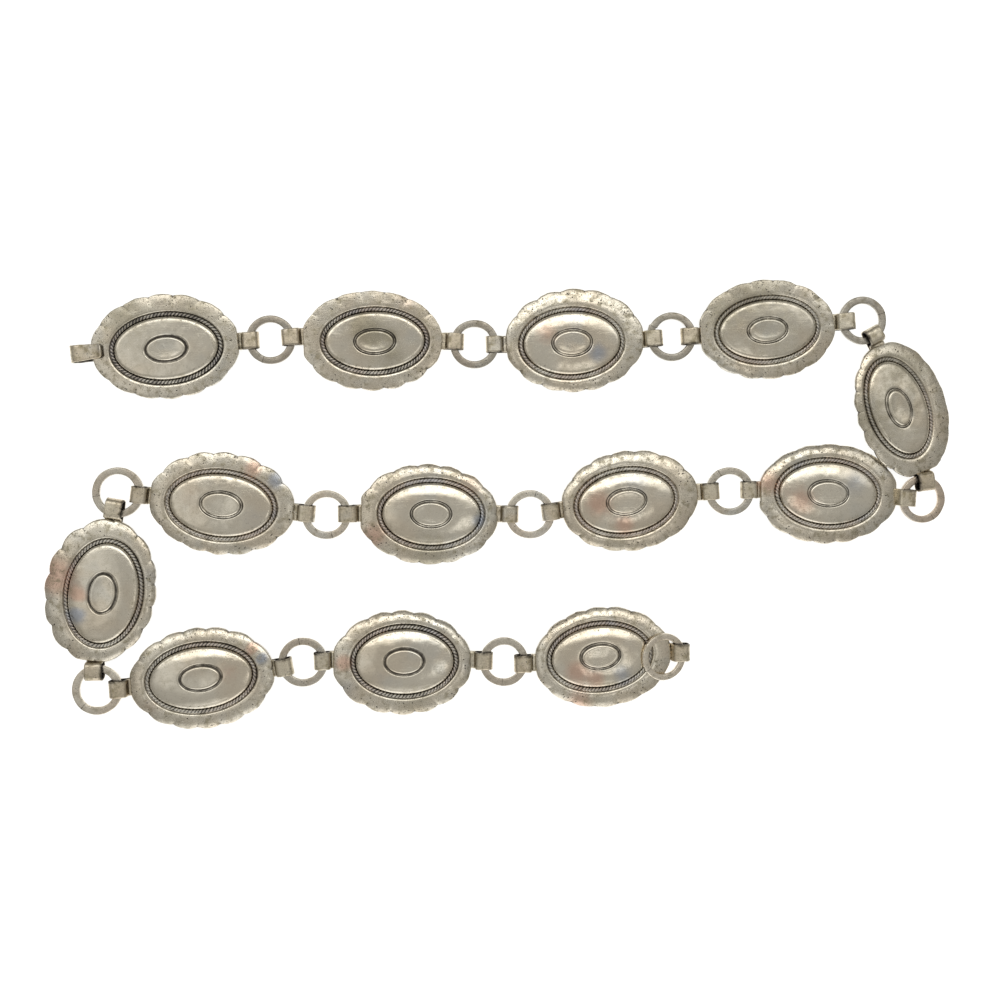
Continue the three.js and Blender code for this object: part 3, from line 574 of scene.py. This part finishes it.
# ------------------------------------------------------------------- rings
def ring_shell(shell, r, seed):
    na, deg = 144, np.linspace(0, 360, 145)[:-1]
    wi, t = r["w"] / 2, RING_T / 2
    c = 0.34
    prof = []
    for sx, sy, a0 in ((1, 1, 0), (-1, 1, 90), (-1, -1, 180), (1, -1, 270)):
        for a in (0, 22.5, 45, 67.5, 90):
            ang = (a0 + a) * RAD
            prof.append((sx * (wi - c) + c * math.cos(ang), sy * (t - c) + c * math.sin(ang)))
        if a0 in (0, 180):
            for f in (0.5, 0.0, -0.5):
                prof.append((sx * f * (wi - c), sy * t + sy * 0.03 * (1 - f * f)))
    prof = np.array(prof)
    m = len(prof)
    seam = (deg - r["seam"] + 180) % 360 - 180
    # the two ends of the bent strip meet with a small step
    step = r["step"] * np.where(seam >= 0, np.exp(-seam / 16.0), 0.0)
    width = 1 + 0.05 * vnoise(np.column_stack([np.cos(deg * RAD) * 2.2, np.sin(deg * RAD) * 2.2, deg * 0 + seed * 3.1]), 51)
    wob = 0.07 * vnoise(np.column_stack([np.cos(deg * RAD) * 1.6, np.sin(deg * RAD) * 1.6, deg * 0 + seed * 1.7]), 52)
    mid = r["r"] - wi
    rows, cav = [], []
    for k in range(na):
        a = deg[k] * RAD
        d = mid + prof[:, 0] * width[k] + wob[k] + step[k]
        z = t + prof[:, 1]
        rows.append(np.column_stack([d * math.cos(a), d * math.sin(a), z]))
        cut = math.exp(-(seam[k] / 1.6) ** 2)
        cav.append(np.clip(0.18 * (np.abs(prof[:, 1]) < t * 0.6) + 0.7 * cut, 0, 1))
    V = np.array(rows).reshape(-1, 3)
    V[:, 2] += 0.03 * fbm(V * 0.5 + seed, 61, 2)
    if r["lift"]:
        g = np.radians(r["toward"])
        R = np.array(Matrix.Rotation(-g, 3, "Z"))
        V = V @ R.T
        V[:, 0] += r["r"]
        V = V @ np.array(Matrix.Rotation(-r["lift"] * RAD, 3, "Y")).T
        V[:, 0] -= r["r"]
        V = V @ R
    V += [r["x"], r["y"], r["z"]]
    first = shell.points(V, np.concatenate(cav), 0.9)
    shell.grid(first, na, m, 0, wrap_rows=True)


# --------------------------------------------------------------- materials
class Nodes:
    def __init__(self, name):
        self.mat = bpy.data.materials.new(name)
        self.mat.use_nodes = True
        self.t = self.mat.node_tree
        self.t.nodes.clear()
        self.out = self.t.nodes.new("ShaderNodeOutputMaterial")
        self.bsdf = self.t.nodes.new("ShaderNodeBsdfPrincipled")
        self.t.links.new(self.bsdf.outputs[0], self.out.inputs[0])

    def put(self, socket, value):
        if isinstance(value, bpy.types.NodeSocket):
            self.t.links.new(value, socket)
        elif value is not None:
            if socket.type == "RGBA" and len(value) == 3:
                value = (*value, 1)
            socket.default_value = value

    def attr(self, name):
        n = self.t.nodes.new("ShaderNodeAttribute")
        n.attribute_name = name
        return n.outputs["Fac"]

    def coord(self, scale=(1, 1, 1), rot=(0, 0, 0), loc=(0, 0, 0)):
        tc = self.t.nodes.new("ShaderNodeTexCoord")
        m = self.t.nodes.new("ShaderNodeMapping")
        self.t.links.new(tc.outputs["Object"], m.inputs["Vector"])
        m.inputs["Scale"].default_value = [s * 1000 for s in scale]   # per mm
        m.inputs["Rotation"].default_value = rot
        m.inputs["Location"].default_value = loc
        return m.outputs[0]

    def noise(self, vec, scale, detail=3, rough=0.5, out="Fac", dist=0.0):
        n = self.t.nodes.new("ShaderNodeTexNoise")
        self.put(n.inputs["Vector"], vec)
        n.inputs["Scale"].default_value = scale
        n.inputs["Detail"].default_value = detail
        n.inputs["Roughness"].default_value = rough
        n.inputs["Distortion"].default_value = dist
        return n.outputs[out]

    def voronoi(self, vec, scale, feature="F1", rand=1.0):
        n = self.t.nodes.new("ShaderNodeTexVoronoi")
        n.feature = feature
        self.put(n.inputs["Vector"], vec)
        n.inputs["Scale"].default_value = scale
        n.inputs["Randomness"].default_value = rand
        return n.outputs["Distance"]

    def ramp(self, v, lo, hi, a=0.0, b=1.0, smooth=True):
        n = self.t.nodes.new("ShaderNodeMapRange")
        n.interpolation_type = "SMOOTHSTEP" if smooth else "LINEAR"
        n.clamp = True
        self.put(n.inputs[0], v)
        for i, x in zip((1, 2, 3, 4), (lo, hi, a, b)):
            self.put(n.inputs[i], x)
        return n.outputs[0]

    def math(self, op, a, b=None, clamp=False):
        n = self.t.nodes.new("ShaderNodeMath")
        n.operation, n.use_clamp = op, clamp
        self.put(n.inputs[0], a)
        if b is not None:
            self.put(n.inputs[1], b)
        return n.outputs[0]

    def mix(self, f, a, b, mode="MIX"):
        n = self.t.nodes.new("ShaderNodeMix")
        n.data_type, n.blend_type, n.clamp_factor = "RGBA", mode, True
        self.put(n.inputs[0], f)
        self.put(n.inputs[6], a)
        self.put(n.inputs[7], b)
        return n.outputs[2]

    def bump(self, height, strength, dist_mm, normal=None):
        n = self.t.nodes.new("ShaderNodeBump")
        n.inputs["Strength"].default_value = strength
        n.inputs["Distance"].default_value = dist_mm * MM
        self.put(n.inputs["Height"], height)
        if normal is not None:
            self.t.links.new(normal, n.inputs["Normal"])
        return n.outputs[0]


def silver(name, light, warm, cool, olive, dark, rough, blotch, pits, oxide_and_shade, scratch):
    """Aged silver: clean metal with warm and cool areas, the warm spots a painted
    pink reflection, olive blotches and pits where it is rubbed less, and dark oxide
    in the recesses, which on the strips and rope also stands for painted shade."""
    s = Nodes(name)
    mm = s.coord()
    cav, zone, tint_and_reflection, film = s.attr("cav"), s.attr("zone"), s.attr("tint_and_reflection"), s.attr("film")
    broad = s.noise(mm, 0.055, 2)
    broad2 = s.noise(s.coord(loc=(31, 7, 3)), 0.075, 2)
    mid = s.noise(s.coord(loc=(5, 90, 2)), 0.42, 4, 0.6)
    fine = s.noise(mm, 2.6, 4, 0.65)
    col = s.mix(s.ramp(broad, 0.40, 0.62), light, warm)
    col = s.mix(s.math("MULTIPLY", s.ramp(broad2, 0.55, 0.70), 0.6), col, cool)
    # pink: random warm tone from the noise, plus a painted pink reflection where the spot attribute is positive
    col = s.mix(s.ramp(s.math("ADD", tint_and_reflection, s.math("MULTIPLY", s.math("SUBTRACT", mid, 0.5), 0.5)), 0.15, 1.0, 0.0, 0.75), col, PINK_TINT_AND_REFLECTION)
    col = s.mix(s.ramp(s.math("SUBTRACT", s.math("MULTIPLY", s.math("SUBTRACT", mid, 0.5), 0.5), tint_and_reflection), 0.15, 1.0, 0.0, 0.75), col, BLUE)
    # olive-brown film in patches, mostly on the rims
    patch = s.math("MULTIPLY", s.ramp(mid, 0.47, 0.70), s.ramp(zone, 0.0, 1.0, 0.22, 1.0, False))
    patch = s.math("MULTIPLY", patch, blotch)
    stain = s.ramp(s.math("ADD", film, s.math("MULTIPLY", s.math("SUBTRACT", mid, 0.5), 0.8)), 0.2, 0.8, 0.0, 0.62)
    patch = s.math("MAXIMUM", patch, stain)
    col = s.mix(patch, col, olive)
    col = s.mix(s.math("MULTIPLY", s.ramp(fine, 0.40, 0.75, 0.0, 0.22), s.ramp(zone, 0.0, 1.0, 0.3, 1.0, False)), col, dark)
    # small pits
    near = s.voronoi(s.coord(loc=(3, 3, 3)), 0.85)
    hole = s.ramp(near, 0.12, 0.30, 1.0, 0.0)
    some = s.ramp(s.noise(s.coord(loc=(50, 0, 9)), 0.30, 2), 0.42, 0.62)
    hole = s.math("MULTIPLY", hole, s.math("MULTIPLY", some, s.ramp(zone, 0.0, 1.0, 0.15, 1.0, False)))
    speck = s.ramp(s.noise(s.coord(loc=(0, 20, 0)), 2.8, 2, 0.5), 0.60, 0.70)
    speck = s.math("MULTIPLY", speck, s.ramp(zone, 0.0, 1.0, 0.25, 1.0, False))
    holes = s.math("MAXIMUM", hole, s.math("MULTIPLY", speck, 0.7))
    holes = s.math("MULTIPLY", holes, pits)
    col = s.mix(holes, col, dark)
    # oxide in the recesses, with an uneven edge; on the strips and rope the same mask also paints shade
    ox = s.math("ADD", cav, s.math("MULTIPLY", s.math("SUBTRACT", mid, 0.5), 0.75))
    ox = s.math("MULTIPLY", s.ramp(ox, 0.22, 0.85), oxide_and_shade)
    col = s.mix(ox, col, dark)
    s.put(s.bsdf.inputs["Base Color"], col)
    s.bsdf.inputs["Metallic"].default_value = 1.0
    # scratches in two directions
    h = None
    for rot, loc in ((0.5, (0, 0, 0)), (-0.9, (9, 4, 0)), (1.7, (2, 8, 1))):
        line = s.noise(s.coord(scale=(0.10, 3.0, 0.8), rot=(0, 0, rot), loc=loc), 1.0, 3, 0.55)
        line = s.ramp(line, 0.60, 0.68)
        h = line if h is None else s.math("MAXIMUM", h, line)
    scr = s.math("MULTIPLY", h, scratch)
    rg = s.ramp(mid, 0.25, 0.75, rough - 0.04, rough + 0.07)
    rg = s.math("ADD", rg, s.math("MULTIPLY", zone, 0.06))
    rg = s.math("ADD", rg, s.math("MULTIPLY", ox, 0.22))
    rg = s.math("ADD", rg, s.math("MULTIPLY", patch, 0.16))
    rg = s.math("ADD", rg, s.math("MULTIPLY", scr, 0.10))
    rg = s.math("ADD", rg, s.math("MULTIPLY", holes, 0.2), clamp=True)
    s.put(s.bsdf.inputs["Roughness"], rg)
    n = s.bump(mid, 0.11, 0.07)
    n = s.bump(fine, 0.09, 0.03, n)
    n = s.bump(s.math("SUBTRACT", 1.0, s.math("MULTIPLY", h, 0.8)), 0.35 * scratch, 0.025, n)
    n = s.bump(s.math("SUBTRACT", 1.0, holes), 0.6, 0.07, n)
    s.put(s.bsdf.inputs["Normal"], n)
    return s.mat


LIGHT, WARM, COOL = (0.80, 0.745, 0.63), (0.77, 0.685, 0.55), (0.71, 0.69, 0.62)
PINK_TINT_AND_REFLECTION, BLUE = (0.75, 0.49, 0.37), (0.40, 0.45, 0.54)
OLIVE, DARK = (0.33, 0.29, 0.19), (0.045, 0.038, 0.032)
plate_mat = silver("plate_silver", LIGHT, WARM, COOL, OLIVE, DARK, 0.12, 0.75, 1.0, 0.95, 0.45)
rope_mat = silver("rope_silver", (0.60, 0.57, 0.50), (0.54, 0.47, 0.41), (0.50, 0.50, 0.53), (0.24, 0.21, 0.15),
                  (0.05, 0.045, 0.05), 0.26, 0.4, 0.3, 0.9, 0.3)
strip_mat = silver("strip_silver", (0.74, 0.67, 0.53), (0.68, 0.59, 0.45), (0.66, 0.64, 0.58), (0.32, 0.27, 0.16),
                   (0.03, 0.025, 0.022), 0.24, 0.85, 0.7, 1.0, 1.0)


def ring_silver(name, tone):
    light, warm, cool = [tuple(min(0.97, c * tone) for c in col) for col in ((0.74, 0.69, 0.59), (0.70, 0.62, 0.51), (0.66, 0.65, 0.60))]
    return silver(name, light, warm, cool, tuple(c * min(1.0, tone + 0.2) for c in (0.34, 0.30, 0.21)),
                  (0.05, 0.042, 0.036), 0.22, 0.6, 0.7, 0.9, 1.0)


# the rings are copies of one material in several tones: the top row is darker,
# as painted shade, four rings a little darker, the end ring brightest
RING_MATS = {"painted_shade": ring_silver("ring_silver_painted_shade", 0.62), "dimmer": ring_silver("ring_silver_dimmer", 0.86),
             "plain": ring_silver("ring_silver", 1.03), "bright": ring_silver("ring_silver_bright", 1.28)}
RING_TONE = {1: "painted_shade", 2: "painted_shade", 3: "painted_shade", 4: "painted_shade", 6: "dimmer", 9: "dimmer", 11: "dimmer", 12: "dimmer", 13: "bright"}


# ----------------------------------------------------------------- assembly
def to_frame(v, x, y, turn, roll=0.0):
    c, s = math.cos(roll * RAD), math.sin(roll * RAD)
    v = np.column_stack([v[:, 0], v[:, 1] * c - v[:, 2] * s, v[:, 1] * s + v[:, 2] * c])
    v[:, 2] -= min(0.0, v[:, 2].min()) if roll else 0.0
    c, s = math.cos(turn * RAD), math.sin(turn * RAD)
    return np.column_stack([v[:, 0] * c - v[:, 1] * s + x + SHIFT[0], v[:, 0] * s + v[:, 1] * c + y + SHIFT[1], v[:, 2]])


for k, p in enumerate(PLATES):
    shell = Shell()
    plate_shell(shell, p, k + 1)
    rope_shell(shell, p, k + 1)
    loops_of(shell, p, k + 1)
    o = make_object(f"plate_{p['n']}", shell, [plate_mat, rope_mat, strip_mat],
                    lambda v, p=p: to_frame(v, p["x"], p["y"], p["turn"], p["roll"]), p["hues"], p["films"])
    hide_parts(f"concho_{p['n']}")
    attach(o, "root")

for k, r in enumerate(RINGS):
    shell = Shell()
    ring_shell(shell, r, k + 1)
    node = "end_ring" if k + 1 == END_RING else f"ring_{k + 1:02d}"
    o = make_object(f"link_{node}", shell, [RING_MATS[RING_TONE.get(k + 1, "plain")]], lambda v: v + [SHIFT[0], SHIFT[1], 0], [(r["x"], r["y"], 20, RING_HUES.get(k + 1, 0.0))],
                    [(r["x"], r["y"], 20, 0.45 if k + 1 == 5 else 0.1)])
    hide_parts(node)
    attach(o, "root")

# --------------------------------------------------- floor, light, camera
scene = bpy.context.scene
scene.view_settings.view_transform = "Standard"

me = bpy.data.meshes.new("floor")
n = 96
ringv = [(3.2 * math.cos(2 * math.pi * k / n), 3.2 * math.sin(2 * math.pi * k / n), -0.0001) for k in range(n)]
me.from_pydata(ringv, [], [tuple(range(n))])
floor = bpy.data.objects.new("floor", me)
scene.collection.objects.link(floor)
fm = bpy.data.materials.new("pale_floor")
fm.use_nodes = True
b = fm.node_tree.nodes["Principled BSDF"]
b.inputs["Base Color"].default_value = (0.62, 0.62, 0.61, 1)
b.inputs["Roughness"].default_value = 0.9
b.inputs["Specular IOR Level"].default_value = 0.0
b.inputs["Emission Color"].default_value = (1, 1, 0.995, 1)
b.inputs["Emission Strength"].default_value = 0.80
me.materials.append(fm)
floor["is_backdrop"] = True


def lobe(t, vec, axis, lo, hi, colour, strength):
    """Light added where the direction lies within an angle of an axis."""
    d = t.nodes.new("ShaderNodeVectorMath")
    d.operation = "DOT_PRODUCT"
    t.links.new(vec, d.inputs[0])
    d.inputs[1].default_value = Vector(axis).normalized()
    m = t.nodes.new("ShaderNodeMapRange")
    m.interpolation_type = "SMOOTHSTEP"
    t.links.new(d.outputs["Value"], m.inputs[0])
    m.inputs[1].default_value, m.inputs[2].default_value = math.cos(hi * RAD), math.cos(lo * RAD)
    m.inputs[3].default_value, m.inputs[4].default_value = 0.0, strength
    c = t.nodes.new("ShaderNodeVectorMath")
    c.operation = "SCALE"
    c.inputs[0].default_value = colour
    t.links.new(m.outputs[0], c.inputs["Scale"])
    return c.outputs[0]


def tilt(toward_x, toward_y):
    """Direction leaning from straight up by these angles."""
    return (math.tan(toward_x * RAD), math.tan(toward_y * RAD), 1.0)


world = bpy.data.worlds.new("studio")
scene.world = world
world.use_nodes = True
wt = world.node_tree
wt.nodes.clear()
wo = wt.nodes.new("ShaderNodeOutputWorld")
bg = wt.nodes.new("ShaderNodeBackground")
tc = wt.nodes.new("ShaderNodeTexCoord")
vec = tc.outputs["Generated"]
# (direction, full within, gone beyond, colour, strength); first the even room
LIGHTS = [
    ((0, 0, 1), 22, 60, (1.0, 1.0, 1.0), 0.12),
    (tilt(-38, 20), 4, 16, (0.96, 0.96, 0.94), 0.85),
    (tilt(-20, 23), 4, 16, (0.96, 0.96, 0.94), 1.15),
    (tilt(-2, 23), 4, 16, (0.96, 0.96, 0.94), 1.30),
    (tilt(16, 23), 4, 16, (0.96, 0.96, 0.94), 1.25),
    (tilt(34, 20), 4, 16, (0.96, 0.96, 0.94), 0.62),
    (tilt(-27, -7), 4, 16, (1.0, 1.0, 0.98), 0.25),
    (tilt(12, -14), 2, 9, (1.0, 1.0, 0.98), 0.55),
    ((0, -1, 0.30), 8, 42, (1.0, 1.0, 1.0), 1.1),
    ((0, 1, 0.15), 8, 42, (1.0, 1.0, 1.0), -0.08),
]
base = wt.nodes.new("ShaderNodeVectorMath")
base.operation = "ADD"
base.inputs[0].default_value = (0.325, 0.318, 0.30)
base.inputs[1].default_value = (0, 0, 0)
total = base.outputs[0]
for axis, lo, hi, colour, strength in LIGHTS:
    add = wt.nodes.new("ShaderNodeVectorMath")
    add.operation = "ADD"
    wt.links.new(total, add.inputs[0])
    wt.links.new(lobe(wt, vec, axis, lo, hi, colour, strength), add.inputs[1])
    total = add.outputs[0]
wt.links.new(total, bg.inputs["Color"])
pale = wt.nodes.new("ShaderNodeBackground")
pale.inputs["Color"].default_value = (1, 1, 1, 1)
pale.inputs["Strength"].default_value = 1.0
mixw = wt.nodes.new("ShaderNodeMixShader")
lp = wt.nodes.new("ShaderNodeLightPath")
wt.links.new(lp.outputs["Is Camera Ray"], mixw.inputs[0])
wt.links.new(bg.outputs[0], mixw.inputs[1])
wt.links.new(pale.outputs[0], mixw.inputs[2])
wt.links.new(mixw.outputs[0], wo.inputs[0])

# camera, from the photograph: 0.33 m above the belt, almost straight down
CAM_H, CAM_TILT, CAM_Y = 330.0, 2.4, 27.0
cam = bpy.data.cameras.new("camera")
cam.lens, cam.sensor_width, cam.sensor_fit = 33.0, 36.0, "HORIZONTAL"
cam.shift_y = -0.075
cam.clip_start, cam.clip_end = 0.01, 20
co = bpy.data.objects.new("camera", cam)
scene.collection.objects.link(co)
ph = CAM_TILT * RAD
right, up, back = Vector((math.cos(ph), 0, math.sin(ph))), Vector((0, 1, 0)), Vector((-math.sin(ph), 0, math.cos(ph)))
pos = Vector((-CAM_H * math.sin(ph) + SHIFT[0], CAM_Y + SHIFT[1], CAM_H * math.cos(ph))) * MM
co.matrix_world = Matrix(((right.x, up.x, back.x, pos.x), (right.y, up.y, back.y, pos.y), (right.z, up.z, back.z, pos.z), (0, 0, 0, 1)))
scene.camera = co

lo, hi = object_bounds()
{"cad": [list(CAD_LO), list(CAD_HI)], "visual": [list(lo), list(hi)]}
